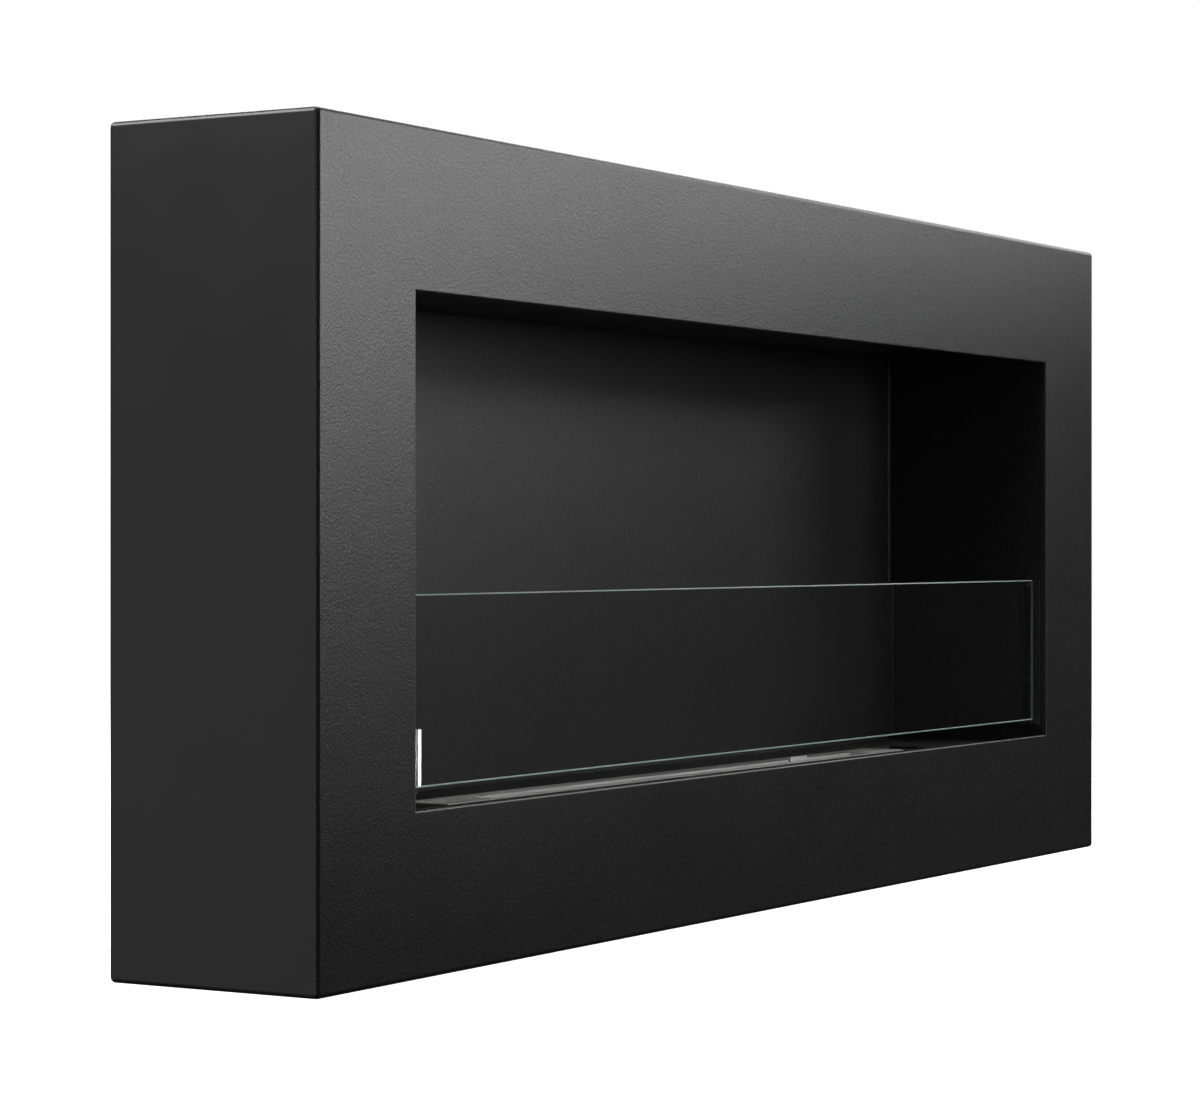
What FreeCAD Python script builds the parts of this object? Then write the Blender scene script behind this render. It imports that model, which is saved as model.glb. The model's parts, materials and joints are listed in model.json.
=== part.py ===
import FreeCAD, Part
import math
import os

# Wall-hung bio-ethanol fireplace: a black folded-steel casing with a window, a recessed
# firebox liner, a low glass guard standing in side guides and a slim drop-in burner.
# Units are millimetres. +X is right seen from the front, +Y points to the wall, +Z is up.
# The origin is on the underside, at the centre of the casing's footprint.
# Depths named FROM_FRONT are counted from the front face towards the wall.

# ---- overall ----
WIDTH = 900.0
HEIGHT = 400.0
DEPTH = 120.0                  # front face to the back of the rear panel

# ---- outer casing: folded, welded and ground sheet ----
CASING_SHEET = 1.5
CASING_BEND = 2.5              # outside radius of the folded and ground edges
SIDE_BORDER = 79.5             # casing edge to window, left and right
TOP_BORDER = 78.0
BOTTOM_BORDER = 79.0
WINDOW_EDGE_R = 1.0            # rounding of the window's front edge
REAR_RETURN = 20.0             # width of the return flange round the back

# ---- rear panel ----
REAR_PANEL_SHEET = 1.2
REAR_PANEL_INSET = 3.0         # panel edge to casing edge
REAR_SCREWS_LONG = 5           # along the top and along the bottom
REAR_SCREWS_SHORT = 2          # up each side, between the long rows

# ---- firebox liner: one folded tray with an outward front flange ----
LINER_SHEET = 1.2
LINER_BEND = 1.5               # inside radius of the tray's edges
LINER_FRONT_R = 0.8            # rounding where wall turns into flange
LINER_FLANGE = 14.0            # flange width beyond the tray's inside faces
FLOOR_STEP = 6.0               # tray floor below the window's lower edge
CEILING_STEP = 5.0             # tray ceiling above the window's upper edge
AIR_GAP = 4.0                  # between the liner's back and the rear panel
LINER_STUDS_LONG = 5
LINER_STUDS_SHORT = 2
SPACER_R = 8.0
SPACERS_ACROSS = 3
SPACERS_UP = 2

# ---- fasteners ----
STUD_R = 2.0                   # M4 weld stud
STUD_LENGTH = 10.0
NUT_ACROSS_FLATS = 7.0
NUT_HEIGHT = 3.2
FASTENER_CLEARANCE = 0.1       # radial, shank in nut or sheet
SCREW_HEAD_R = 4.0
SCREW_HEAD_DEPTH = 2.0
SCREW_LENGTH = 9.0
SCREW_SOCKET_ACROSS = 2.5
SCREW_SOCKET_DEPTH = 1.4
RIVET_R = 1.6
RIVET_HEAD_R = 2.5
RIVET_HEAD_HEIGHT = 1.5
RIVET_TAIL_R = 2.4
RIVET_TAIL_LENGTH = 2.5
RIVET_HEAD_SHARE = 0.75        # countersunk head's depth, of the rear panel's sheet

# ---- keyhole hangers ----
KEYHOLE_SPACING = 700.0
KEYHOLE_DROP = 52.0            # casing top to the centre of the entry hole
KEYHOLE_ENTRY_R = 6.0
KEYHOLE_SLOT_R = 3.2
KEYHOLE_TRAVEL = 12.0
HANGER_SHEET = 2.5
HANGER_WIDTH = 96.0
HANGER_BELOW = 26.0            # plate below and above the entry hole's centre
HANGER_ABOVE = 31.0
HANGER_RIVET_X = 41.5          # rivets from the keyhole's centre line
HANGER_RIVET_BELOW = 12.0      # rivet rows below and above the entry hole's centre
HANGER_RIVET_ABOVE = 20.0
HANGER_WINDOW_WIDTH = 70.0     # opening in the rear panel over each keyhole
HANGER_WINDOW_BELOW = 18.0
HANGER_WINDOW_ABOVE = 22.0

# ---- glass guard and its guides ----
GLASS_THICKNESS = 4.0
GLASS_HEIGHT = 91.3
GLASS_FROM_FRONT = 8.5
GLASS_ABOVE_WINDOW = 9.8       # glass bottom above the window's lower edge: the air gap
GLASS_END_GAP = 0.3            # glass end to guide leg
GLASS_EDGE_CHAMFER = 0.4
GUIDE_SHEET = 1.0
GUIDE_LIP_DEPTH = 4.3          # retaining lip in front of the glass
GUIDE_LIP_PROUD = 1.2          # lip beyond the leg's face
GUIDE_SLACK = 0.2              # lip to glass, and glass to rivet head
GUIDE_LEG_BEHIND = 7.0         # leg behind the glass
GUIDE_STOP_WIDTH = 6.0
GUIDE_STOP_SHEET = 1.5
GUIDE_BELOW_STOP = 2.0
PAD_THICKNESS = 1.0
GUIDE_RIVET_TOP = 4.5          # rivet rows below the glass's upper edge
GUIDE_RIVET_LOW = 66.0

# ---- burner: top plate, tank, wool, damper ----
BURNER_LENGTH = 528.0
BURNER_WIDTH = 27.5
BURNER_FROM_FRONT = 52.0       # front face to the top plate's near edge
BURNER_SHEET = 1.2
PLATE_PROUD = 0.4              # top plate above the floor round its pressed seat
SEAT_CLEARANCE = 0.3           # top plate's edges to the seat's walls
BURNER_CORNER_R = 0.6
SLOT_LENGTH = 434.0
SLOT_WIDTH = 12.0
SLOT_NEAR_RIM = 2.3
TANK_SHEET = 0.8
TANK_DEPTH = 50.0
TANK_END_INSET = 10.0          # top plate overhang at each end
TANK_SIDE_INSET = 1.0          # top plate overhang at front and back
TANK_BEND = 1.5
CUTOUT_CLEARANCE = 0.4         # tank to the floor's cut-out
WOOL_CLEARANCE = 0.2
WOOL_BELOW_PLATE = 3.6
DAMPER_SHEET = 0.9
DAMPER_CLEARANCE = 0.1         # to the top plate above it and to the slot edges
DAMPER_OVERLAP = 12.0          # damper past each end of the slot
DAMPER_TAB_WIDTH = 22.0
DAMPER_TAB_FROM_CENTRE = 145.0
DAMPER_TAB_ABOVE = 1.6         # tab above the top plate
GUIDE_STRIP_SHEET = 0.8
GUIDE_STRIP_SHELF = 10.0
GUIDE_STRIP_FOOT = 10.0
GUIDE_STRIP_GAP = 0.3          # damper end to guide riser

# ---- lifting notches and spill tray ----
NOTCH_REACH = 35.0             # notch beyond the top plate's end
SPILL_SHEET = 1.0
SPILL_GAP_SIDE = 8.0           # spill tray to the tank, front and back
SPILL_GAP_END = 4.0            # spill tray beyond the notches
SPILL_GAP_BELOW = 6.0
SPILL_BEND = 1.0
SPILL_FLANGE = 12.0
SPILL_STUDS = 3                # along each flange

# ---- places worked out from the values above ----
FRONT = -DEPTH / 2
WINDOW_HALF = WIDTH / 2 - SIDE_BORDER
WINDOW_LOW = BOTTOM_BORDER
WINDOW_TOP = HEIGHT - TOP_BORDER
PANEL_FRONT = DEPTH / 2 - REAR_PANEL_SHEET
KEYHOLE_Z = HEIGHT - KEYHOLE_DROP
FASCIA_BACK = FRONT + CASING_SHEET
FLOOR_Z = WINDOW_LOW - FLOOR_STEP
CEILING_Z = WINDOW_TOP + CEILING_STEP
LINER_BACK = PANEL_FRONT - AIR_GAP - LINER_SHEET
FLANGE_BACK = FASCIA_BACK + LINER_SHEET

GLASS_FRONT = FRONT + GLASS_FROM_FRONT
GLASS_BACK = GLASS_FRONT + GLASS_THICKNESS
GLASS_LOW = WINDOW_LOW + GLASS_ABOVE_WINDOW
GLASS_TOP = GLASS_LOW + GLASS_HEIGHT
LEG_FACE = WINDOW_HALF - GUIDE_SHEET
GLASS_HALF = LEG_FACE - GLASS_END_GAP
GUIDE_RIVET_Y = GLASS_BACK + GUIDE_SLACK + RIVET_HEAD_R
STOP_TOP = GLASS_LOW - PAD_THICKNESS

PLATE_NEAR = FRONT + BURNER_FROM_FRONT
PLATE_FAR = PLATE_NEAR + BURNER_WIDTH
PLATE_TOP = FLOOR_Z + PLATE_PROUD
SEAT_Z = PLATE_TOP - BURNER_SHEET
SLOT_NEAR = PLATE_NEAR + SLOT_NEAR_RIM
SLOT_FAR = SLOT_NEAR + SLOT_WIDTH
TANK_HALF = BURNER_LENGTH / 2 - TANK_END_INSET
TANK_NEAR = PLATE_NEAR + TANK_SIDE_INSET
TANK_FAR = PLATE_FAR - TANK_SIDE_INSET
TANK_LOW = SEAT_Z - TANK_DEPTH
DAMPER_NEAR = SLOT_FAR - DAMPER_CLEARANCE - DAMPER_SHEET
DAMPER_TRAVEL = DAMPER_NEAR - SLOT_NEAR - DAMPER_CLEARANCE
DAMPER_FAR = SLOT_FAR + DAMPER_TRAVEL + DAMPER_CLEARANCE
DAMPER_TOP = SEAT_Z - DAMPER_CLEARANCE
DAMPER_HALF = SLOT_LENGTH / 2 + DAMPER_OVERLAP
NOTCH_HALF = BURNER_LENGTH / 2 + NOTCH_REACH
SPILL_HALF = NOTCH_HALF + SPILL_GAP_END
SPILL_NEAR = TANK_NEAR - SPILL_GAP_SIDE
SPILL_FAR = TANK_FAR + SPILL_GAP_SIDE
SPILL_LOW = TANK_LOW - SPILL_GAP_BELOW
FLOOR_UNDER = FLOOR_Z - LINER_SHEET

X_AXIS = FreeCAD.Vector(1, 0, 0)
Y_AXIS = FreeCAD.Vector(0, 1, 0)
Z_AXIS = FreeCAD.Vector(0, 0, 1)


def block(x0, x1, y0, y1, z0, z1):
    """A box between two corners, given as low and high values along each axis."""
    return Part.makeBox(x1 - x0, y1 - y0, z1 - z0, FreeCAD.Vector(x0, y0, z0))


def slab(half, y0, y1, z0, z1):
    """A box centred on X = 0."""
    return block(-half, half, y0, y1, z0, z1)


def rod(radius, length, x, y, z, axis):
    """A cylinder that starts at a point and runs along an axis."""
    return Part.makeCylinder(radius, length, FreeCAD.Vector(x, y, z), axis)


def cone(r0, r1, length, x, y, z, axis):
    """A cone from radius r0 to r1 that starts at a point and runs along an axis."""
    return Part.makeCone(r0, r1, length, FreeCAD.Vector(x, y, z), axis)


def hex_bar(across_flats, length, x, y, z, axis, turn_axis):
    """A hexagonal prism from a point along an axis, with a corner towards turn_axis."""
    radius = across_flats / 2 / math.cos(math.pi / 6)
    rim = []
    for corner in range(7):
        angle = corner * math.pi / 3
        offset = turn_axis * (radius * math.cos(angle)) + axis.cross(turn_axis) * (radius * math.sin(angle))
        rim.append(FreeCAD.Vector(x, y, z) + offset)
    return Part.Face(Part.makePolygon(rim)).extrude(axis * length)


def spread(count, low, high):
    """Evenly spaced values from low to high, or the middle where there is only one."""
    if count == 1:
        return [(low + high) / 2]
    return [low + (high - low) * i / (count - 1) for i in range(count)]


def mirrored(shape):
    """The same shape on the other side of X = 0."""
    return shape.mirror(FreeCAD.Vector(0, 0, 0), X_AXIS)


def edges_where(shape, test):
    """The straight edges whose middle point and direction pass a test."""
    found = []
    for edge in shape.Edges:
        if edge.Degenerated or not isinstance(edge.Curve, Part.Line):
            continue
        middle = edge.valueAt((edge.FirstParameter + edge.LastParameter) / 2)
        if test(middle, edge.Curve.Direction):
            found.append(edge)
    return found


def one_solid(shape):
    """The shape with merged faces, checked to be a single closed solid."""
    clean = shape.removeSplitter()
    if len(clean.Solids) != 1 or not clean.isValid():
        raise ValueError("a piece came out as %d solids" % len(clean.Solids))
    return clean.Solids[0]


def rounded_tray(half, y0, y1, z0, z1, radius):
    """A box whose edges are all rounded except the four round its front face."""
    body = slab(half, y0, y1, z0, z1)
    return body.makeFillet(radius, edges_where(body, lambda p, d: p.y > y0 + radius / 2))


def rear_screw_places():
    """Centres of the rear panel's screws, midway across the exposed return flange."""
    inset = (REAR_RETURN + REAR_PANEL_INSET) / 2
    across = spread(REAR_SCREWS_LONG, -WIDTH / 2 + inset, WIDTH / 2 - inset)
    up = spread(REAR_SCREWS_SHORT + 2, inset, HEIGHT - inset)[1:-1]
    rows = [(x, z) for x in across for z in (inset, HEIGHT - inset)]
    sides = [(x, z) for x in (across[0], across[-1]) for z in up]
    return rows + sides


def liner_stud_places():
    """Centres of the weld studs, midway across the liner's front flange."""
    inset = (LINER_FLANGE + LINER_SHEET) / 2
    half = WINDOW_HALF + inset
    low, top = FLOOR_Z - inset, CEILING_Z + inset
    across = spread(LINER_STUDS_LONG, -half, half)
    up = spread(LINER_STUDS_SHORT + 2, low, top)[1:-1]
    rows = [(x, z) for x in across for z in (low, top)]
    sides = [(x, z) for x in (-half, half) for z in up]
    return rows + sides


def spill_stud_places():
    """Centres of the studs under the floor, midway across the spill tray's flanges."""
    near = SPILL_NEAR - SPILL_SHEET - SPILL_FLANGE / 2
    far = SPILL_FAR + SPILL_SHEET + SPILL_FLANGE / 2
    across = spread(SPILL_STUDS, -SPILL_HALF + SPILL_FLANGE, SPILL_HALF - SPILL_FLANGE)
    return [(x, y) for x in across for y in (near, far)]


def spacer_places():
    """Centres of the air-gap spacers, on a grid inside the liner's back wall."""
    across = spread(SPACERS_ACROSS + 2, -WINDOW_HALF, WINDOW_HALF)[1:-1]
    up = spread(SPACERS_UP + 2, FLOOR_Z, CEILING_Z)[1:-1]
    return [(x, z) for x in across for z in up]


def hanger_rivet_places():
    """Centres of the rivets of both keyhole plates."""
    middle = KEYHOLE_Z
    return [
        (side * KEYHOLE_SPACING / 2 + x, middle + z)
        for side in (-1, 1)
        for x in (-HANGER_RIVET_X, HANGER_RIVET_X)
        for z in (-HANGER_RIVET_BELOW, HANGER_RIVET_ABOVE)
    ]


def keyhole_cutter(x):
    """The round entry hole and the narrow slot above it, through the hanger plate."""
    z = KEYHOLE_Z
    y = PANEL_FRONT - HANGER_SHEET
    length = HANGER_SHEET
    entry = rod(KEYHOLE_ENTRY_R, length, x, y, z, Y_AXIS)
    neck = block(x - KEYHOLE_SLOT_R, x + KEYHOLE_SLOT_R, y, y + length, z, z + KEYHOLE_TRAVEL)
    top = rod(KEYHOLE_SLOT_R, length, x, y, z + KEYHOLE_TRAVEL, Y_AXIS)
    return entry.fuse([neck, top])


def countersunk(shank_r, head_r, head_depth, length, x, z, grow):
    """A countersunk fastener flush with the rear panel's back, pointing at the front."""
    back = DEPTH / 2
    toward_front = FreeCAD.Vector(0, -1, 0)
    head = cone(head_r + grow, shank_r + grow, head_depth, x, back, z, toward_front)
    shank = rod(shank_r + grow, length, x, back, z, toward_front)
    return head.fuse(shank)


def outer_casing():
    """Front face, four walls and the return flange round the back, in one shell."""
    half = WIDTH / 2
    shell = slab(half, FRONT, PANEL_FRONT, 0, HEIGHT)
    shell = shell.makeFillet(CASING_BEND, shell.Edges)
    inside = slab(
        half - CASING_SHEET, FASCIA_BACK, PANEL_FRONT - CASING_SHEET, CASING_SHEET, HEIGHT - CASING_SHEET
    )
    inside = inside.makeFillet(CASING_BEND - CASING_SHEET, inside.Edges)
    rear_hole = slab(half - REAR_RETURN, 0, DEPTH, REAR_RETURN, HEIGHT - REAR_RETURN)
    window = slab(WINDOW_HALF, FRONT - CASING_SHEET, 0, WINDOW_LOW, WINDOW_TOP)
    shell = shell.cut(inside).cut(rear_hole).cut(window)
    rim = edges_where(
        shell,
        lambda p, d: abs(p.y - FRONT) < 0.01
        and abs(p.x) < WINDOW_HALF + 0.01
        and WINDOW_LOW - 0.01 < p.z < WINDOW_TOP + 0.01,
    )
    shell = shell.makeFillet(WINDOW_EDGE_R, rim)
    for x, z in rear_screw_places():
        shell = shell.cut(
            countersunk(STUD_R, SCREW_HEAD_R, SCREW_HEAD_DEPTH, SCREW_LENGTH, x, z, FASTENER_CLEARANCE)
        )
    return one_solid(shell)


def rear_panel():
    """Flat sheet over the back, open at the keyholes, with countersunk screw holes."""
    panel = slab(
        WIDTH / 2 - REAR_PANEL_INSET, PANEL_FRONT, DEPTH / 2, REAR_PANEL_INSET, HEIGHT - REAR_PANEL_INSET
    )
    for x, z in rear_screw_places():
        panel = panel.cut(
            countersunk(STUD_R, SCREW_HEAD_R, SCREW_HEAD_DEPTH, SCREW_LENGTH, x, z, FASTENER_CLEARANCE)
        )
    middle = KEYHOLE_Z
    for x in (-KEYHOLE_SPACING / 2, KEYHOLE_SPACING / 2):
        panel = panel.cut(block(
            x - HANGER_WINDOW_WIDTH / 2, x + HANGER_WINDOW_WIDTH / 2, PANEL_FRONT, DEPTH / 2,
            middle - HANGER_WINDOW_BELOW, middle + HANGER_WINDOW_ABOVE,
        ))
    for x, z in hanger_rivet_places():
        panel = panel.cut(hanger_rivet(x, z, FASTENER_CLEARANCE))
    return one_solid(panel)


def rear_panel_screws():
    """Countersunk hexagon-socket screws, flush with the rear panel."""
    screws = []
    for x, z in rear_screw_places():
        screw = countersunk(STUD_R, SCREW_HEAD_R, SCREW_HEAD_DEPTH, SCREW_LENGTH, x, z, 0)
        socket = hex_bar(
            SCREW_SOCKET_ACROSS, SCREW_SOCKET_DEPTH,
            x, DEPTH / 2 - SCREW_SOCKET_DEPTH, z, Y_AXIS, Z_AXIS,
        )
        screws.append(one_solid(screw.cut(socket)))
    return Part.makeCompound(screws)


def hanger_plate(side):
    """Thick plate behind the rear panel's opening, with the keyhole for a wall screw."""
    x = side * KEYHOLE_SPACING / 2
    z = KEYHOLE_Z
    plate = block(
        x - HANGER_WIDTH / 2, x + HANGER_WIDTH / 2,
        PANEL_FRONT - HANGER_SHEET, PANEL_FRONT,
        z - HANGER_BELOW, z + HANGER_ABOVE,
    )
    plate = plate.cut(keyhole_cutter(x))
    for rivet_x, rivet_z in hanger_rivet_places():
        plate = plate.cut(hanger_rivet(rivet_x, rivet_z, FASTENER_CLEARANCE))
    return one_solid(plate)


def hanger_rivet(x, z, grow):
    """A flush rivet through rear panel and hanger plate, without its inner head."""
    length = REAR_PANEL_SHEET + HANGER_SHEET
    return countersunk(RIVET_R, RIVET_HEAD_R, RIVET_HEAD_SHARE * REAR_PANEL_SHEET, length, x, z, grow)


def hanger_rivets():
    """Flush rivets with a set head on the inside."""
    rivets = []
    for x, z in hanger_rivet_places():
        tail = cone(
            RIVET_TAIL_R, RIVET_R, RIVET_HEAD_HEIGHT,
            x, PANEL_FRONT - HANGER_SHEET, z, FreeCAD.Vector(0, -1, 0),
        )
        rivets.append(one_solid(hanger_rivet(x, z, 0).fuse(tail)))
    return Part.makeCompound(rivets)


def burner_seat(grow, z_low, z_high):
    """The top plate's outline with a margin all round, between two heights."""
    return slab(BURNER_LENGTH / 2 + grow, PLATE_NEAR - grow, PLATE_FAR + grow, z_low, z_high)


def firebox_liner():
    """Five-sided tray with an outward flange at its mouth. Its floor is pressed down into a seat
    for the top plate, with a hole for the tank that runs on as a lifting notch past each end."""
    inner = rounded_tray(WINDOW_HALF, FASCIA_BACK, LINER_BACK, FLOOR_Z, CEILING_Z, LINER_BEND)
    outer = rounded_tray(
        WINDOW_HALF + LINER_SHEET, FASCIA_BACK, LINER_BACK + LINER_SHEET,
        FLOOR_UNDER, CEILING_Z + LINER_SHEET, LINER_BEND + LINER_SHEET,
    )
    flange = slab(
        WINDOW_HALF + LINER_FLANGE, FASCIA_BACK, FLANGE_BACK,
        FLOOR_Z - LINER_FLANGE, CEILING_Z + LINER_FLANGE,
    )
    tray = outer.fuse(flange).cut(inner).removeSplitter()
    mouth = [
        edge for edge in tray.Edges
        if all(abs(v.Point.y - FASCIA_BACK) < 0.01 for v in edge.Vertexes)
        and abs(edge.CenterOfMass.x) < WINDOW_HALF + 0.01
        and FLOOR_Z - 0.01 < edge.CenterOfMass.z < CEILING_Z + 0.01
    ]
    tray = tray.makeFillet(LINER_FRONT_R, mouth)
    tray = tray.fuse(burner_seat(SEAT_CLEARANCE + LINER_SHEET, SEAT_Z - LINER_SHEET, FLOOR_Z))
    tray = tray.cut(burner_seat(SEAT_CLEARANCE, SEAT_Z, FLOOR_Z))
    tray = tray.cut(slab(
        NOTCH_HALF, TANK_NEAR - CUTOUT_CLEARANCE, TANK_FAR + CUTOUT_CLEARANCE,
        SEAT_Z - LINER_SHEET, FLOOR_Z,
    )).removeSplitter()
    for x, z in liner_stud_places():
        tray = tray.cut(rod(STUD_R + FASTENER_CLEARANCE, LINER_SHEET, x, FASCIA_BACK, z, Y_AXIS))
    for side in (-1, 1):
        for z in guide_rivet_heights():
            tray = tray.cut(guide_rivet_hole(side, z))
    return one_solid(tray)


def fascia_studs():
    """Weld studs on the back of the front face, which carry the liner's flange."""
    return Part.makeCompound(
        [rod(STUD_R, STUD_LENGTH, x, FASCIA_BACK, z, Y_AXIS) for x, z in liner_stud_places()]
    )


def hex_nut(x, y, z, axis, turn_axis):
    """A hexagon nut with a clearance bore, its low face at the point given."""
    body = hex_bar(NUT_ACROSS_FLATS, NUT_HEIGHT, x, y, z, axis, turn_axis)
    return body.cut(rod(STUD_R + FASTENER_CLEARANCE, NUT_HEIGHT, x, y, z, axis))


def liner_nuts():
    """Nuts on the fascia's studs, behind the liner's flange."""
    return Part.makeCompound(
        [hex_nut(x, FLANGE_BACK, z, Y_AXIS, Z_AXIS) for x, z in liner_stud_places()]
    )


def air_gap_spacers():
    """Round spacers that hold the liner's back away from the rear panel."""
    return Part.makeCompound(
        [rod(SPACER_R, AIR_GAP, x, LINER_BACK + LINER_SHEET, z, Y_AXIS) for x, z in spacer_places()]
    )


def guide_rivet_heights():
    """Heights of the two rivets in each glass guide."""
    return (GLASS_TOP - GUIDE_RIVET_TOP, GLASS_TOP - GUIDE_RIVET_LOW)


def guide_rivet_hole(side, z):
    """The hole for a guide's rivet, through the leg and the liner's wall."""
    hole = rod(
        RIVET_R + FASTENER_CLEARANCE, 2 * (GUIDE_SHEET + LINER_SHEET),
        LEG_FACE - GUIDE_SHEET, GUIDE_RIVET_Y, z, X_AXIS,
    )
    return hole if side > 0 else mirrored(hole)


def glass_guide(side):
    """Side leg with a retaining lip in front of the glass and a stop under it."""
    low = STOP_TOP - GUIDE_STOP_SHEET - GUIDE_BELOW_STOP
    lip_front = GLASS_FRONT - GUIDE_SLACK - GUIDE_LIP_DEPTH
    leg_back = GLASS_BACK + GUIDE_LEG_BEHIND
    leg = block(LEG_FACE, WINDOW_HALF, lip_front, leg_back, low, GLASS_TOP)
    lip = block(
        LEG_FACE - GUIDE_LIP_PROUD, LEG_FACE, lip_front, GLASS_FRONT - GUIDE_SLACK, low, GLASS_TOP
    )
    stop = block(
        LEG_FACE - GUIDE_STOP_WIDTH, LEG_FACE, lip_front, GLASS_BACK + GUIDE_SLACK,
        STOP_TOP - GUIDE_STOP_SHEET, STOP_TOP,
    )
    guide = leg.fuse([lip, stop])
    for z in guide_rivet_heights():
        guide = guide.cut(guide_rivet_hole(1, z))
    guide = one_solid(guide)
    return guide if side > 0 else mirrored(guide)


def glass_guide_rivets():
    """Domed rivets, each turned from a half-section; their heads keep the glass upright."""
    grip_end = LEG_FACE + GUIDE_SHEET + LINER_SHEET
    tail_end = grip_end + RIVET_TAIL_LENGTH
    crown = LEG_FACE - RIVET_HEAD_HEIGHT
    dome_r = (RIVET_HEAD_R ** 2 + RIVET_HEAD_HEIGHT ** 2) / (2 * RIVET_HEAD_HEIGHT)
    half_turn = math.asin(RIVET_HEAD_R / dome_r) / 2
    shoulder = (crown + dome_r - dome_r * math.cos(half_turn), dome_r * math.sin(half_turn))
    steps = [
        (LEG_FACE, RIVET_HEAD_R), (LEG_FACE, RIVET_R), (grip_end, RIVET_R),
        (grip_end, RIVET_TAIL_R), (tail_end, RIVET_TAIL_R), (tail_end, 0), (crown, 0),
    ]
    rivets = []
    for z in guide_rivet_heights():
        dome = Part.Arc(
            *[FreeCAD.Vector(x, GUIDE_RIVET_Y, z + r) for x, r in [(crown, 0), shoulder, steps[0]]]
        ).toShape()
        outline = Part.makePolygon([FreeCAD.Vector(x, GUIDE_RIVET_Y, z + r) for x, r in steps])
        section = Part.Face(Part.Wire([dome] + outline.Edges))
        rivet = section.revolve(FreeCAD.Vector(0, GUIDE_RIVET_Y, z), X_AXIS, 360)
        rivets += [rivet, mirrored(rivet)]
    return Part.makeCompound(rivets)


def glass_panel():
    """Toughened pane with ground edges."""
    pane = slab(GLASS_HALF, GLASS_FRONT, GLASS_BACK, GLASS_LOW, GLASS_TOP)
    return one_solid(pane.makeChamfer(GLASS_EDGE_CHAMFER, pane.Edges))


def glass_rest_pads():
    """Soft pads between the stops and the glass's lower edge."""
    pad = block(
        LEG_FACE - GUIDE_STOP_WIDTH, LEG_FACE - GLASS_END_GAP, GLASS_FRONT, GLASS_BACK,
        STOP_TOP, GLASS_LOW,
    )
    return Part.makeCompound([pad, mirrored(pad)])


def burner_top_plate():
    """Flat plate with the flame slot, lying in the floor's pressed seat."""
    plate = burner_seat(0, SEAT_Z, PLATE_TOP)
    plate = plate.makeFillet(BURNER_CORNER_R, edges_where(plate, lambda p, d: abs(d.z) > 0.9))
    slot = slab(SLOT_LENGTH / 2, SLOT_NEAR, SLOT_FAR, SEAT_Z, PLATE_TOP)
    slot = slot.makeFillet(BURNER_CORNER_R, edges_where(slot, lambda p, d: abs(d.z) > 0.9))
    return one_solid(plate.cut(slot))


def burner_tank():
    """Open-topped fuel tank, welded under the top plate."""
    outer = slab(TANK_HALF, TANK_NEAR, TANK_FAR, TANK_LOW, SEAT_Z)
    outer = outer.makeFillet(TANK_BEND, edges_where(outer, lambda p, d: p.z < SEAT_Z - TANK_BEND))
    inner = slab(
        TANK_HALF - TANK_SHEET, TANK_NEAR + TANK_SHEET, TANK_FAR - TANK_SHEET,
        TANK_LOW + TANK_SHEET, SEAT_Z,
    )
    bend = TANK_BEND - TANK_SHEET
    inner = inner.makeFillet(bend, edges_where(inner, lambda p, d: p.z < SEAT_Z - TANK_BEND))
    return one_solid(outer.cut(inner))


def ceramic_wool():
    """Block of ceramic wool that soaks up the fuel."""
    gap = TANK_SHEET + WOOL_CLEARANCE
    block_of_wool = slab(
        TANK_HALF - gap, TANK_NEAR + gap, TANK_FAR - gap,
        TANK_LOW + gap, PLATE_TOP - WOOL_BELOW_PLATE,
    )
    return block_of_wool.makeFillet(
        TANK_BEND, edges_where(block_of_wool, lambda p, d: p.z < SEAT_Z - TANK_DEPTH / 2)
    )


def damper_slide():
    """Thin shutter under the top plate's rear rim, with a finger tab through the slot."""
    sheet = slab(DAMPER_HALF, DAMPER_NEAR, DAMPER_FAR, DAMPER_TOP - DAMPER_SHEET, DAMPER_TOP)
    tab = block(
        DAMPER_TAB_FROM_CENTRE - DAMPER_TAB_WIDTH / 2, DAMPER_TAB_FROM_CENTRE + DAMPER_TAB_WIDTH / 2,
        DAMPER_NEAR, DAMPER_NEAR + DAMPER_SHEET,
        DAMPER_TOP - DAMPER_SHEET, PLATE_TOP + DAMPER_TAB_ABOVE,
    )
    return one_solid(sheet.fuse(tab))


def damper_guide(side):
    """Z-shaped strip under the top plate that carries one end of the damper."""
    near, far = TANK_NEAR + TANK_SHEET, TANK_FAR - TANK_SHEET
    riser_x = DAMPER_HALF + GUIDE_STRIP_GAP
    shelf_top = DAMPER_TOP - DAMPER_SHEET - DAMPER_CLEARANCE
    shelf_low = shelf_top - GUIDE_STRIP_SHEET
    shelf = block(riser_x - GUIDE_STRIP_SHELF, riser_x, near, far, shelf_low, shelf_top)
    riser = block(riser_x, riser_x + GUIDE_STRIP_SHEET, near, far, shelf_low, SEAT_Z)
    foot = block(
        riser_x, riser_x + GUIDE_STRIP_FOOT, near, far, SEAT_Z - GUIDE_STRIP_SHEET, SEAT_Z
    )
    strip = one_solid(shelf.fuse([riser, foot]))
    return strip if side > 0 else mirrored(strip)


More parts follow.
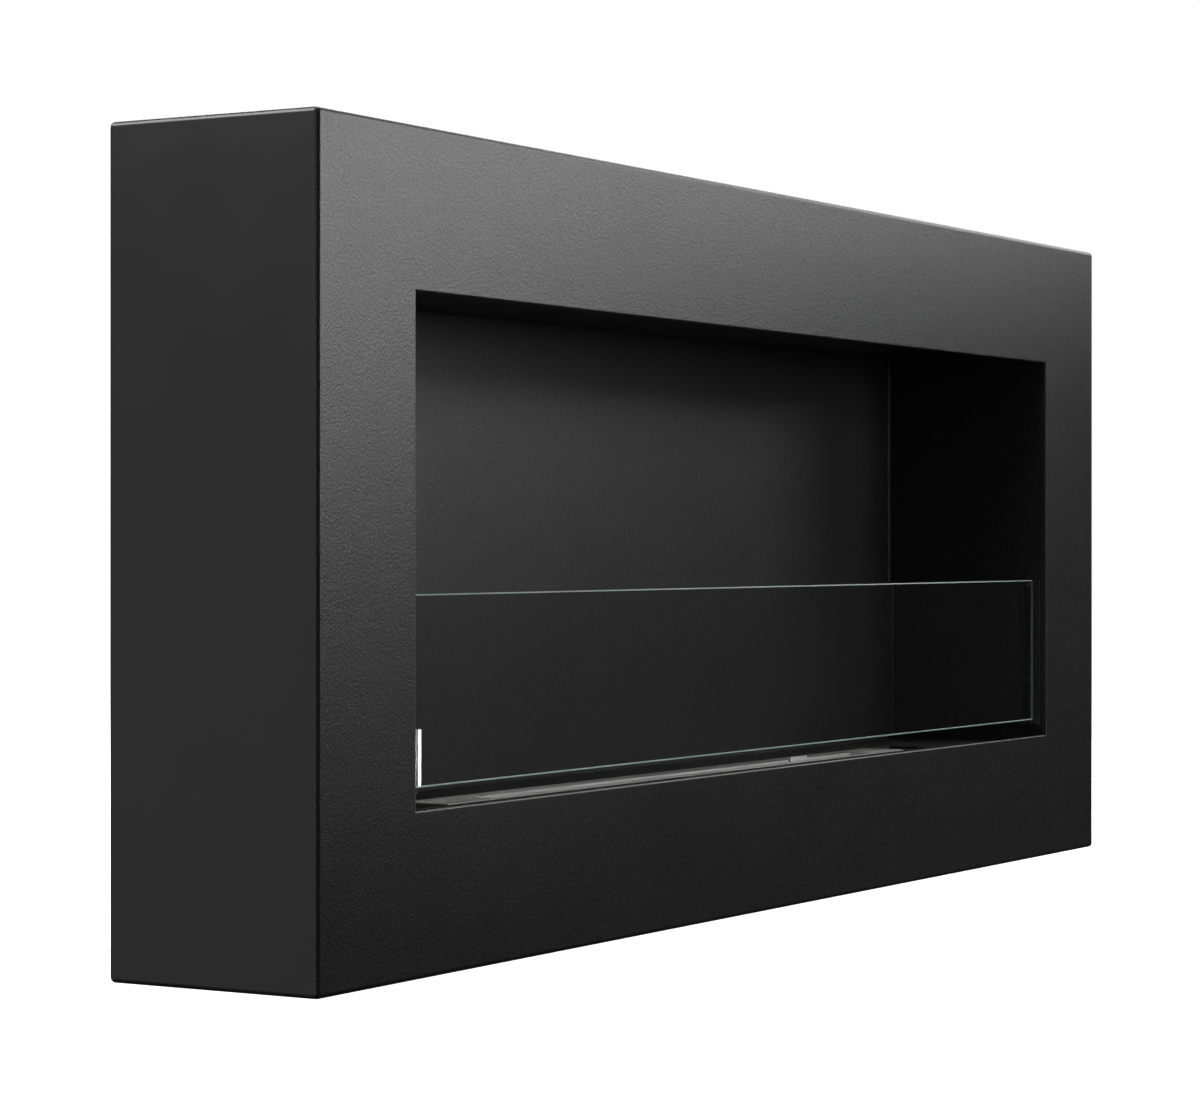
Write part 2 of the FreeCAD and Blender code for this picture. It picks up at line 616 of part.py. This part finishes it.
def spill_tray():
    """Tray under the floor that catches spilt fuel, with a flange front and back."""
    outer = slab(
        SPILL_HALF + SPILL_SHEET, SPILL_NEAR - SPILL_SHEET, SPILL_FAR + SPILL_SHEET,
        SPILL_LOW - SPILL_SHEET, FLOOR_UNDER,
    )
    bottom = edges_where(outer, lambda p, d: p.z < FLOOR_UNDER - SPILL_BEND - SPILL_SHEET)
    outer = outer.makeFillet(SPILL_BEND + SPILL_SHEET, bottom)
    inner = slab(SPILL_HALF, SPILL_NEAR, SPILL_FAR, SPILL_LOW, FLOOR_UNDER)
    bottom = edges_where(inner, lambda p, d: p.z < FLOOR_UNDER - SPILL_BEND)
    inner = inner.makeFillet(SPILL_BEND, bottom)
    flanges = slab(
        SPILL_HALF + SPILL_SHEET,
        SPILL_NEAR - SPILL_SHEET - SPILL_FLANGE, SPILL_FAR + SPILL_SHEET + SPILL_FLANGE,
        FLOOR_UNDER - SPILL_SHEET, FLOOR_UNDER,
    )
    tray = outer.fuse(flanges).cut(inner)
    for x, y in spill_stud_places():
        tray = tray.cut(
            rod(STUD_R + FASTENER_CLEARANCE, SPILL_SHEET, x, y, FLOOR_UNDER - SPILL_SHEET, Z_AXIS)
        )
    return one_solid(tray)


def spill_tray_studs():
    """Weld studs under the firebox floor that carry the spill tray."""
    return Part.makeCompound(
        [rod(STUD_R, STUD_LENGTH, x, y, FLOOR_UNDER - STUD_LENGTH, Z_AXIS) for x, y in spill_stud_places()]
    )


def spill_tray_nuts():
    """Nuts under the spill tray's flanges."""
    top = FLOOR_UNDER - SPILL_SHEET
    return Part.makeCompound(
        [hex_nut(x, y, top - NUT_HEIGHT, Z_AXIS, X_AXIS) for x, y in spill_stud_places()]
    )


def all_parts():
    """Every piece by node name."""
    return {
        "outer_casing": outer_casing(),
        "rear_panel": rear_panel(),
        "rear_panel_screws": rear_panel_screws(),
        "hanger_plate_left": hanger_plate(-1),
        "hanger_plate_right": hanger_plate(1),
        "hanger_rivets": hanger_rivets(),
        "firebox_liner": firebox_liner(),
        "fascia_studs": fascia_studs(),
        "liner_nuts": liner_nuts(),
        "air_gap_spacers": air_gap_spacers(),
        "glass_panel": glass_panel(),
        "glass_guide_left": glass_guide(-1),
        "glass_guide_right": glass_guide(1),
        "glass_guide_rivets": glass_guide_rivets(),
        "glass_rest_pads": glass_rest_pads(),
        "burner_top_plate": burner_top_plate(),
        "burner_tank": burner_tank(),
        "ceramic_wool": ceramic_wool(),
        "damper_slide": damper_slide(),
        "damper_guide_left": damper_guide(-1),
        "damper_guide_right": damper_guide(1),
        "spill_tray": spill_tray(),
        "spill_tray_studs": spill_tray_studs(),
        "spill_tray_nuts": spill_tray_nuts(),
    }


def main():
    os.makedirs("parts", exist_ok=True)
    for name, shape in all_parts().items():
        if not shape.isValid():
            raise ValueError("%s is not a valid shape" % name)
        shape.exportStep("parts/%s.step" % name)
        box = shape.BoundBox
        print("%-20s %2d solids %7.1f x %6.1f x %6.1f mm" % (
            name, len(shape.Solids), box.XLength, box.YLength, box.ZLength,
        ))


main()
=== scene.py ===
import json
import math

import bmesh
import bpy
import numpy as np
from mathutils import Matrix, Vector

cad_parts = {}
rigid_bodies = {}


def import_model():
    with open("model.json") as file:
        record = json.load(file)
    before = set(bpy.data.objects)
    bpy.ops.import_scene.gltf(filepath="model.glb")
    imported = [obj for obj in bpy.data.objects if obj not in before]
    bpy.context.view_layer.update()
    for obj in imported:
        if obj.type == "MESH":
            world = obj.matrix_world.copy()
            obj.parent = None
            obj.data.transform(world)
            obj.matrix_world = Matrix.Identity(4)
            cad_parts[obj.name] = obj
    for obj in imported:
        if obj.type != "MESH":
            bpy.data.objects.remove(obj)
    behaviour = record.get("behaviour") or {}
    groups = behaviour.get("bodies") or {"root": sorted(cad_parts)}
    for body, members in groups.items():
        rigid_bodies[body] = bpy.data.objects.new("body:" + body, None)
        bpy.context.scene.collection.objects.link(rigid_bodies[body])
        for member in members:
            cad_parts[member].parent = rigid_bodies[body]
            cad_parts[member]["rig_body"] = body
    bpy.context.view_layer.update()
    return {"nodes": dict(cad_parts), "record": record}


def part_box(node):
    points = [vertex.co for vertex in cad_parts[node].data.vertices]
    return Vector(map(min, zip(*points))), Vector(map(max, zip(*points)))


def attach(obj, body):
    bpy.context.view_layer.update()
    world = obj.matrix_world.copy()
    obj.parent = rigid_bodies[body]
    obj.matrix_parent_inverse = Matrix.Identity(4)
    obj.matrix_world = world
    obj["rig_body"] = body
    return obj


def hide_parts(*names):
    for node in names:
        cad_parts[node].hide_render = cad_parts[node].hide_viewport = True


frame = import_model()

MM = 0.001

# ---- camera, in the row frame ----
CAMERA_PLACE = (-1.6988, -0.9451, 0.2041)
CAMERA_YAW = math.radians(59.398)      # from +Y towards +X
CAMERA_LENS = 102.43
CAMERA_DROP = 0.01                     # the frame sits this share of its width below the horizon

# ---- studio lights: azimuth from the front face's normal towards +X and elevation, in degrees,
# distance from the object's middle and side of the square, in metres, and power in watts ----
MIDDLE = (0, 0, 0.2)
STUDIO_LIGHTS = (
    ("high_key", 55, 20, 1.7, 0.5, 4.4),
    ("front_key", 25, 15, 1.1, 0.5, 4.2),
    ("right_high", 85, 35, 1.7, 0.5, 2.6),
    ("right_edge", 85, 20, 1.7, 0.5, 2.1),
    ("middle_fill", 70, 20, 1.7, 0.5, 0.3),
    ("overhead", 0, 88, 1.6, 1.0, 18.7),
    ("left_back_high", -125, 40, 2.0, 1.0, 35),
    ("left_back_low", -125, -10, 2.0, 1.0, 1.0),
    ("left_side", -90, 15, 2.0, 1.0, 1.2),
    ("left_low", -90, -10, 2.0, 1.0, 1.8),
    ("left_front", -60, 15, 2.0, 1.0, 1.1),
    ("right_back_high", 125, 40, 2.0, 1.0, 20),
)
BACKDROP = 1.0
AMBIENT = 0.015
FLOOR_GLOW = 1.0

# ---- narrow card that the pane mirrors as a white line at its lower left ----
CARD_EDGE = (-0.3538, 0.0988)          # where the pane shows the line's right edge, along X and Z
CARD_SIZE = (0.002, 0.045)
CARD_DISTANCE = 0.45                   # pane to card
CARD_WATTS = 0.0045

# ---- shading of the folded sheet ----
SHARP_ANGLE = math.radians(35)         # edges sharper than this stay crisp
WELD_DISTANCE = 2e-6


def linear(code):
    """An sRGB colour such as "8FA3B0" as linear red, green, blue and alpha."""
    parts = np.array([int(code[i:i + 2], 16) for i in (0, 2, 4)]) / 255
    values = np.where(parts <= 0.04045, parts / 12.92, ((parts + 0.055) / 1.055) ** 2.4)
    return (*values.tolist(), 1.0)


def add(tree, kind, inputs=None, **settings):
    """Adds a node with its settings. An input goes by name or number, as a value or a socket."""
    node = tree.nodes.new(kind)
    for key, value in settings.items():
        setattr(node, key, value)
    for key, value in (inputs or {}).items():
        if isinstance(value, bpy.types.NodeSocket):
            tree.links.new(value, node.inputs[key])
        else:
            node.inputs[key].default_value = value
    return node


def finish(name, **constants):
    """A material with constants set on its shader, its node tree and Object coordinates."""
    material = bpy.data.materials.new(name)
    material.use_nodes = True
    tree = material.node_tree
    tree.nodes.clear()
    inputs = {key.replace("_", " "): value for key, value in constants.items()}
    shader = add(tree, "ShaderNodeBsdfPrincipled", inputs)
    add(tree, "ShaderNodeOutputMaterial", {"Surface": shader.outputs[0]})
    place = add(tree, "ShaderNodeTexCoord").outputs["Object"]
    return material, tree, shader, place


def shades(tree, factor, low, high, start=0.0, end=1.0):
    """Two colours, or two grey levels, spread over a pattern's values from start to end."""
    ramp = add(tree, "ShaderNodeValToRGB", {"Fac": factor})
    for stop, position, colour in zip(ramp.color_ramp.elements, (start, end), (low, high)):
        stop.position = position
        stop.color = linear(colour) if isinstance(colour, str) else (colour, colour, colour, 1)
    return ramp.outputs["Color"]


# ---------------------------------------------------------------- materials

def colour_output(mix):
    """The colour socket of a Mix node that is set to colours."""
    return [socket for socket in mix.outputs if socket.type == "RGBA"][0]


def noise(tree, place, size_mm, detail, **more):
    """Soft noise with features of about a size in millimetres; a W input makes it a variant."""
    inputs = {"Vector": place, "Scale": 1 / (size_mm * MM), "Detail": detail, **more}
    dimensions = "4D" if "W" in more else "3D"
    return add(tree, "ShaderNodeTexNoise", inputs, noise_dimensions=dimensions).outputs["Fac"]


def maths(tree, operation, *values):
    """The result of one arithmetic step on values or sockets."""
    return add(tree, "ShaderNodeMath", dict(enumerate(values)), operation=operation).outputs[0]


def remap(tree, value, low, high, start=0.0, end=1.0):
    """A value from start to end, spread over low to high."""
    inputs = {"Value": value, "From Min": start, "From Max": end, "To Min": low, "To Max": high}
    return add(tree, "ShaderNodeMapRange", inputs).outputs["Result"]


def multiply(tree, first, second):
    """Two colours multiplied."""
    inputs = {"Factor": 1.0, "A": first, "B": second}
    mix = add(tree, "ShaderNodeMix", inputs, data_type="RGBA", blend_type="MULTIPLY")
    return colour_output(mix)


def relief(tree, height, strength, depth_mm):
    """A normal tilted by a height pattern of a depth in millimetres."""
    inputs = {"Height": height, "Strength": strength, "Distance": depth_mm * MM}
    return add(tree, "ShaderNodeBump", inputs).outputs["Normal"]


def drive(tree, shader, **sockets):
    """Patterns linked into the shader's inputs, named with _ for each space."""
    for name, socket in sockets.items():
        tree.links.new(socket, shader.inputs[name.replace("_", " ")])


def powder_coat(
    name, dark, speck, roughness, grain_mm, relief_mm, seed, smooth_from=1.0, dull_below=-1.0
):
    """Fine-texture black powder coat: polyester powder melted on steel, which sets with a
    close pebbled grain, so it glints in specks and spreads highlights wide. Beyond smooth_from,
    on either side of X = 0, the coat flows out almost flat; below dull_below dust dulls it."""
    flow_mm = 45
    flat_share = 0.1                   # what is left of the grain where the coat is smooth
    gloss_drift = 0.01
    dust = 0.5                         # roughness that dust adds
    material, tree, shader, place = finish(name, Roughness=roughness, IOR=1.5)
    grain = noise(tree, place, grain_mm, 2.0, W=seed, Roughness=0.6)
    flow = noise(tree, place, flow_mm, 2.0, W=seed, Roughness=0.5)
    axes = add(tree, "ShaderNodeSeparateXYZ", {"Vector": place}).outputs
    inside = maths(tree, "LESS_THAN", maths(tree, "ABSOLUTE", axes["X"]), smooth_from)
    share = remap(tree, inside, flat_share, 1.0)
    grain = maths(tree, "MULTIPLY_ADD", maths(tree, "ADD", grain, -0.5), share, 0.5)
    tone = shades(tree, grain, dark, speck, 0.3, 0.7)
    cloud = shades(tree, flow, 0.94, 1.0, 0.3, 0.7)
    gloss = remap(tree, flow, roughness - gloss_drift, roughness + gloss_drift, 0.3, 0.7)
    dusty = maths(tree, "LESS_THAN", axes["Z"], dull_below)
    drive(
        tree, shader,
        Base_Color=multiply(tree, tone, cloud),
        Roughness=maths(tree, "MULTIPLY_ADD", dusty, dust, gloss),
        Normal=relief(tree, grain, 1.0, relief_mm),
    )
    return material


def brushed_stainless():
    """Stainless steel, brushed along its length: fine parallel scratches that draw highlights out
    across the brushing."""
    brushing = (12, 2600, 2600)        # scratches per metre along X, Y and Z
    material, tree, shader, place = finish(
        "brushed_stainless_steel", Metallic=1.0, Roughness=0.3, Anisotropic=0.4
    )
    along = add(tree, "ShaderNodeMapping", {"Vector": place, "Scale": brushing}).outputs[0]
    scratches = {"Vector": along, "Scale": 1.0, "Detail": 4.0, "Roughness": 0.65}
    lines = add(tree, "ShaderNodeTexNoise", scratches).outputs["Fac"]
    smear = maths(tree, "MULTIPLY", noise(tree, place, 60, 2.0), 0.08)
    gloss = remap(tree, lines, 0.48, 0.64, 0.3, 0.7)
    drive(
        tree, shader,
        Base_Color=shades(tree, lines, "BDBCB9", "E3E2DF", 0.3, 0.7),
        Roughness=maths(tree, "ADD", gloss, smear),
        Normal=relief(tree, lines, 0.5, 0.02),
    )
    return material


def galvanised_steel():
    """Hot-dip galvanised sheet: zinc frozen in flat crystals, each a slightly different grey."""
    crystal_mm = 11
    wander_mm = 9
    material, tree, shader, place = finish(
        "hot_dip_galvanised_steel", Metallic=1.0, Roughness=0.42
    )
    wander_inputs = {"Vector": place, "Scale": 1 / (wander_mm * MM), "Detail": 2.0}
    wander = add(tree, "ShaderNodeTexNoise", wander_inputs).outputs["Color"]
    bend = {"Factor": 0.004, "A": place, "B": wander}
    bent = add(tree, "ShaderNodeMix", bend, data_type="VECTOR")
    bent_place = [socket for socket in bent.outputs if socket.type == "VECTOR"][0]
    cells = {"Vector": bent_place, "Scale": 1 / (crystal_mm * MM)}
    crystal = add(tree, "ShaderNodeTexVoronoi", cells, feature="F1").outputs["Color"]
    level = add(tree, "ShaderNodeSeparateColor", {"Color": crystal}).outputs["Red"]
    frost = noise(tree, place, 1.4, 3.0)
    spangle = shades(tree, level, "9A9EA2", "B0B4B7", 0.0, 1.0)
    bloom = shades(tree, frost, 0.86, 1.0, 0.35, 0.65)
    drive(
        tree, shader,
        Base_Color=multiply(tree, spangle, bloom),
        Roughness=remap(tree, level, 0.41, 0.48),
        Normal=relief(tree, frost, 0.4, 0.02),
    )
    return material


def zinc_plate():
    """Bright zinc plate on small fasteners: smooth, faintly blue, a little cloudy."""
    material, tree, shader, place = finish("bright_zinc_plate", Metallic=1.0, Roughness=0.25)
    cloud = noise(tree, place, 2.5, 3.0)
    drive(
        tree, shader,
        Base_Color=shades(tree, cloud, "A7ABB0", "C9CDD1", 0.35, 0.65),
        Roughness=remap(tree, cloud, 0.18, 0.38),
    )
    return material


def gloss_black_rivet():
    """Rivets with baked black enamel: smooth, with a slight orange peel."""
    material, tree, shader, place = finish("gloss_black_enamel", Roughness=0.28, IOR=1.5)
    peel = noise(tree, place, 0.9, 1.0)
    drive(
        tree, shader,
        Base_Color=shades(tree, peel, "262626", "343434", 0.3, 0.7),
        Normal=relief(tree, peel, 0.5, 0.02),
    )
    return material


def fired_ceramic():
    """Unglazed fired steatite: matt, off-white, with faint speckle."""
    material, tree, shader, place = finish("fired_steatite", Roughness=0.75)
    speckle = noise(tree, place, 0.8, 3.0)
    drive(tree, shader, Base_Color=shades(tree, speckle, "C9C4B6", "E2DED2", 0.35, 0.65))
    return material


def moulded_silicone():
    """Black moulded silicone: matt, soft, with faint dust in its surface."""
    material, tree, shader, place = finish("moulded_silicone", Roughness=0.7, IOR=1.41)
    dust = noise(tree, place, 0.6, 2.0)
    drive(tree, shader, Base_Color=shades(tree, dust, "141414", "242424", 0.4, 0.8))
    return material


def ceramic_fibre():
    """Needled ceramic fibre: white strands crossing two ways, soft and fully matt."""
    stretch = (160, 1500, 900)         # strands per metre along X, Y and Z
    material, tree, shader, place = finish("needled_ceramic_fibre", Roughness=0.95)
    strands = []
    for turn in (0.5, -0.7):
        lay_inputs = {"Vector": place, "Rotation": (0, 0, turn), "Scale": stretch}
        lay = add(tree, "ShaderNodeMapping", lay_inputs).outputs[0]
        strand = {"Vector": lay, "Scale": 1.0, "Detail": 3.0}
        strands.append(add(tree, "ShaderNodeTexNoise", strand).outputs["Fac"])
    mat = maths(tree, "MAXIMUM", *strands)
    drive(
        tree, shader,
        Base_Color=shades(tree, mat, "BDB9AE", "F1EEE6", 0.4, 0.7),
        Normal=relief(tree, mat, 0.8, 0.3),
    )
    return material


def clear_float_glass():
    """Toughened float glass, tinted a faint neutral grey, with a slight wave. Light from the
    lamps passes straight through it, as it does through any thin pane."""
    material, tree, shader, place = finish(
        "clear_float_glass", Roughness=0.0, IOR=1.52, Transmission_Weight=1.0
    )
    wave = noise(tree, place, 120, 1.0)
    drive(tree, shader, Base_Color=shades(tree, wave, "ECECEC", "F0F0F0", 0.3, 0.7))
    lamp_ray = add(tree, "ShaderNodeLightPath").outputs["Is Shadow Ray"]
    passed = add(tree, "ShaderNodeBsdfTransparent", {"Color": linear("F2F3F3")})
    choice = {0: lamp_ray, 1: shader.outputs[0], 2: passed.outputs[0]}
    either = add(tree, "ShaderNodeMixShader", choice)
    output = [node for node in tree.nodes if node.type == "OUTPUT_MATERIAL"][0]
    tree.links.new(either.outputs[0], output.inputs["Surface"])
    return material


def ground_glass_edge_painted_highlight(name, dark, light, painted_glow):
    """Ground edge of float glass: frosted, grey-green from the iron in the glass. Its emission is
    painted light: a painted highlight that stands in for light running inside the pane and coming
    out at its edges, strongest on the lower edge."""
    # The emission colour and strength paint a highlight on the edge; it is no lamp.
    material, tree, shader, place = finish(
        name, Roughness=0.4, IOR=1.52, Transmission_Weight=0.35,
        Emission_Color=linear("C6F0E2"), Emission_Strength=painted_glow,
    )
    grind = noise(tree, place, 0.7, 2.0)
    drive(tree, shader, Base_Color=shades(tree, grind, dark, light, 0.35, 0.65))
    return material


def pale_floor():
    """Plain near-white studio floor, matt, lit evenly from within so that it stays pale."""
    mottle_mm = 250
    material, tree, shader, place = finish(
        "matt_white_floor", Roughness=0.9,
        Emission_Color=(1, 1, 1, 1), Emission_Strength=FLOOR_GLOW,
    )
    mottle = noise(tree, place, mottle_mm, 2.0)
    drive(tree, shader, Base_Color=shades(tree, mottle, "F4F4F4", "F8F8F8", 0.3, 0.7))
    return material


# ---------------------------------------------------------------- pieces

def piece(name, points, faces, materials, face_material=None, smooth=False):
    """A mesh object at the origin from an array of points and a list of faces."""
    mesh = bpy.data.meshes.new(name)
    mesh.from_pydata(points.tolist(), [], faces)
    for material in materials:
        mesh.materials.append(material)
    if face_material is not None:
        mesh.polygons.foreach_set("material_index", np.asarray(face_material, np.int32))
    mesh.polygons.foreach_set("use_smooth", np.full(len(faces), smooth))
    mesh.update()
    obj = bpy.data.objects.new(name, mesh)
    bpy.context.scene.collection.objects.link(obj)
    return obj


def stand_for(obj, node):
    """The piece takes a node's place and rides on its body, and the node is hidden."""
    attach(obj, frame["nodes"][node]["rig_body"])
    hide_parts(node)


def folded_sheet(node, material, name):
    """A node's own shape with its facets joined, so that folds and rims shade as round curves.
    Flat faces keep their own direction, because normals are weighted by face area."""
    mesh = frame["nodes"][node].data.copy()
    work = bmesh.new()
    work.from_mesh(mesh)
    bmesh.ops.remove_doubles(work, verts=work.verts, dist=WELD_DISTANCE)
    for face in work.faces:
        face.smooth = True
    for edge in work.edges:
        edge.smooth = len(edge.link_faces) == 2 and edge.calc_face_angle(0) < SHARP_ANGLE
    work.to_mesh(mesh)
    work.free()
    mesh.materials.clear()
    mesh.materials.append(material)
    obj = bpy.data.objects.new(name, mesh)
    bpy.context.scene.collection.objects.link(obj)
    weighted = obj.modifiers.new("flat_faces_lead", "WEIGHTED_NORMAL")
    weighted.keep_sharp = True
    weighted.weight = 100
    stand_for(obj, node)
    return obj


def glass_pane(clear, upper_edge, lower_edge, end):
    """Pane as four rounded-rectangle loops stacked through its thickness. The outer pair are
    inset by the arris, the inner pair carry the ground edge, and the two big faces close them.
    The rim takes the lower edge's material below, the end's at both ends, the upper's above."""
    low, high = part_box("glass_panel")
    arris = 0.6 * MM
    corner = 1.4 * MM
    turn = np.linspace(0, math.pi / 2, 7)      # seven points round each corner
    centre = np.array([(low.x + high.x) / 2, (low.z + high.z) / 2])
    half = np.array([(high.x - low.x) / 2, (high.z - low.z) / 2])

    def loop(y, inset):
        quarters = []
        for start, sx, sz in ((0, 1, 1), (1, -1, 1), (2, -1, -1), (3, 1, -1)):
            angle = turn + start * math.pi / 2
            middle = centre + (half - corner) * (sx, sz)
            ring = middle[:, None] + (corner - inset) * np.array([np.cos(angle), np.sin(angle)])
            quarters.append(ring.T)
        flat = np.concatenate(quarters)
        return np.column_stack([flat[:, 0], np.full(len(flat), y), flat[:, 1]])

    stations = ((low.y, arris), (low.y + arris, 0), (high.y - arris, 0), (high.y, arris))
    loops = [loop(y, inset) for y, inset in stations]
    count = len(loops[0])
    points = np.concatenate(loops)
    ring = np.arange(count)
    ahead = np.roll(ring, -1)
    faces = []
    for level in range(3):
        base, above = level * count, (level + 1) * count
        band = np.column_stack([base + ring, base + ahead, above + ahead, above + ring])
        faces += band[:, ::-1].tolist()
    faces.append(ring.tolist())
    faces.append((3 * count + ring)[::-1].tolist())
    mid_x, mid_z = np.array([points[face].mean(axis=0)[[0, 2]] for face in faces[:-2]]).T
    which = np.where(mid_z < low.z + corner, 2, 1)
    which[np.minimum(mid_x - low.x, high.x - mid_x) < arris] = 3
    glasses = [clear, upper_edge, lower_edge, end]
    pane = piece("guard_pane", points, faces, glasses, which.tolist() + [0, 0])
    stand_for(pane, "glass_panel")
    return pane


def wool_pad(material):
    """Closed block whose top is a grid height(x, y): the flat height less a soft rounding near the
    sides, plus three crossed sine ripples and seeded fibre noise."""
    low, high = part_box("ceramic_wool")
    across, deep = 360, 24             # grid points along X and Y
    u = np.linspace(0, 1, across)
    v = np.linspace(0, 1, deep)
    grid_u, grid_v = np.meshgrid(u, v, indexing="ij")
    x = low.x + (high.x - low.x) * grid_u
    y = low.y + (high.y - low.y) * grid_v
    edge = np.minimum(np.minimum(x - low.x, high.x - x), np.minimum(y - low.y, high.y - y))
    rounding = 1.2 * MM * np.exp(-edge / (1.0 * MM))
    ripple = np.sin(x * 310) * np.sin(y * 420 + 1) + 0.5 * np.sin(x * 905 + y * 640)
    noise = np.random.default_rng(11).normal(0, 1, x.shape)
    lift = 0.12 * MM * ripple + 0.10 * MM * noise
    z = high.z - rounding - 0.45 * MM + lift
    top = np.column_stack([x.ravel(), y.ravel(), z.ravel()])
    index = np.arange(across * deep).reshape(across, deep)
    square = [index[:-1, :-1], index[1:, :-1], index[1:, 1:], index[:-1, 1:]]
    quads = np.stack(square, -1).reshape(-1, 4)
    rim = np.concatenate([index[:, 0], index[-1, 1:], index[-2::-1, -1], index[0, -2:0:-1]])
    foot = top[rim].copy()
    foot[:, 2] = low.z
    first = len(top)
    base = first + np.arange(len(rim))
    walls = np.column_stack([rim, base, np.roll(base, -1), np.roll(rim, -1)])
    faces = quads.tolist() + walls.tolist() + [base[::-1].tolist()]
    pad = piece("wool_pad", np.concatenate([top, foot]), faces, [material], smooth=False)
    stand_for(pad, "ceramic_wool")
    return pad


# ---------------------------------------------------------------- stage

def studio_floor():
    """Flat square under the object."""
    reach = 8.0
    turns = ((-1, -1), (1, -1), (1, 1), (-1, 1))
    corners = np.array([[x * reach, y * reach, 0] for x, y in turns])
    floor = piece("studio_floor", corners, [[0, 1, 2, 3]], [pale_floor()])
    floor.visible_diffuse = False
    floor.visible_glossy = False
    floor.visible_transmission = False
    floor.visible_shadow = False
    return floor


def around(azimuth, elevation, distance):
    """The point at a distance from the object's middle, at an azimuth and elevation in degrees."""
    a, e = math.radians(azimuth), math.radians(elevation)
    way = Vector((math.sin(a) * math.cos(e), -math.cos(a) * math.cos(e), math.sin(e)))
    return Vector(MIDDLE) + way * distance


def softbox(name, place, target, width, height, watts):
    """Rectangular area light at a place, facing a target."""
    light = bpy.data.lights.new(name, "AREA")
    light.shape = "RECTANGLE"
    light.size = width
    light.size_y = height
    light.energy = watts
    lamp = bpy.data.objects.new(name, light)
    lamp.location = place
    lamp.rotation_euler = (Vector(target) - Vector(place)).to_track_quat("-Z", "Y").to_euler()
    lamp.visible_camera = False
    bpy.context.scene.collection.objects.link(lamp)
    return lamp


def mirrored_card():
    """Small light in the place that the pane's front face mirrors towards the camera: the ray from
    the camera to the pane, turned back along Y, and followed for the card's distance. Half the
    card's width, as the pane shows it, keeps its middle left of the line's edge."""
    eye = Vector(CAMERA_PLACE)
    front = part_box("glass_panel")[0].y
    seen = Vector((CARD_EDGE[0], front, CARD_EDGE[1]))
    ray = seen - eye
    shown_width = CARD_SIZE[0] * ray.length / (ray.length + CARD_DISTANCE)
    seen.x -= shown_width / 2 / ray.normalized().y
    way = (seen - eye).normalized()
    way.y = -way.y
    return softbox("narrow_card", seen + way * CARD_DISTANCE, seen, *CARD_SIZE, CARD_WATTS)


def studio_world(backdrop, fill):
    """Plain white behind the object, and a dimmer even light on it from all round."""
    world = bpy.data.worlds.new("studio")
    bpy.context.scene.world = world
    world.use_nodes = True
    tree = world.node_tree
    tree.nodes.clear()
    seen = add(tree, "ShaderNodeBackground", {"Color": (1, 1, 1, 1), "Strength": backdrop})
    lit = add(tree, "ShaderNodeBackground", {"Color": (1, 1, 1, 1), "Strength": fill})
    ray = add(tree, "ShaderNodeLightPath").outputs["Is Camera Ray"]
    mix = add(tree, "ShaderNodeMixShader", {0: ray, 1: lit.outputs[0], 2: seen.outputs[0]})
    add(tree, "ShaderNodeOutputWorld", {"Surface": mix.outputs[0]})


def product_camera():
    """Level long-lens camera, from the front left."""
    data = bpy.data.cameras.new("product_camera")
    data.lens = CAMERA_LENS
    data.sensor_width = 36
    data.shift_y = -CAMERA_DROP
    data.clip_start = 0.01
    camera = bpy.data.objects.new("product_camera", data)
    camera.location = CAMERA_PLACE
    camera.rotation_euler = (math.pi / 2, 0, -CAMERA_YAW)
    bpy.context.scene.collection.objects.link(camera)
    bpy.context.scene.camera = camera


# ---------------------------------------------------------------- the whole

casing_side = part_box("outer_casing")[1].x - 0.2 * MM
casing_coat = powder_coat(
    "fine_texture_powder_coat", dark="121212", speck="343434", roughness=0.35,
    grain_mm=1.1, relief_mm=0.19, seed=1.0, smooth_from=casing_side,
)
liner_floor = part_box("burner_top_plate")[1].z + 1.0 * MM
liner_coat = powder_coat(
    "heat_resistant_black_coat", dark="121212", speck="303030", roughness=0.38,
    grain_mm=1.1, relief_mm=0.19, seed=5.0, dull_below=liner_floor,
)
stainless = brushed_stainless()
galvanised = galvanised_steel()
zinc = zinc_plate()
rivet_enamel = gloss_black_rivet()

folded_sheet("outer_casing", casing_coat, "casing_shell")
folded_sheet("firebox_liner", liner_coat, "firebox_tray")
folded_sheet("burner_tank", stainless, "fuel_tank")
folded_sheet("spill_tray", galvanised, "spill_catcher")
folded_sheet("glass_guide_rivets", rivet_enamel, "guide_rivet_heads")
# Each ground edge gets a painted highlight from emission (last number), strongest on the lower
# edge.
glass_pane(
    clear_float_glass(),
    ground_glass_edge_painted_highlight("ground_glass_edge_painted_highlight", "86A097", "B4C8C0", 0.02),
    ground_glass_edge_painted_highlight("ground_glass_lower_edge_painted_highlight", "86A097", "B4C8C0", 0.16),
    ground_glass_edge_painted_highlight("ground_glass_end_painted_highlight", "6C706E", "8E9291", 0.01),
)
wool_pad(ceramic_fibre())

plain_finishes = {
    "powder_coat": casing_coat,
    "galvanised_sheet": galvanised,
    "zinc_fasteners": zinc,
    "ceramic_spacer": fired_ceramic(),
    "silicone_pad": moulded_silicone(),
    "brushed_stainless": stainless,
    "black_rivet": rivet_enamel,
}
slot_of = {part["node"]: part["material_slot"] for part in frame["record"]["subparts"]}
for node, obj in frame["nodes"].items():
    material = plain_finishes.get(slot_of[node])
    if material:
        for slot in obj.material_slots:
            slot.material = material

studio_floor()
for name, azimuth, elevation, distance, size, watts in STUDIO_LIGHTS:
    softbox(name, around(azimuth, elevation, distance), MIDDLE, size, size, watts)
mirrored_card()
studio_world(BACKDROP, AMBIENT)
product_camera()
bpy.context.scene.view_settings.view_transform = "Standard"
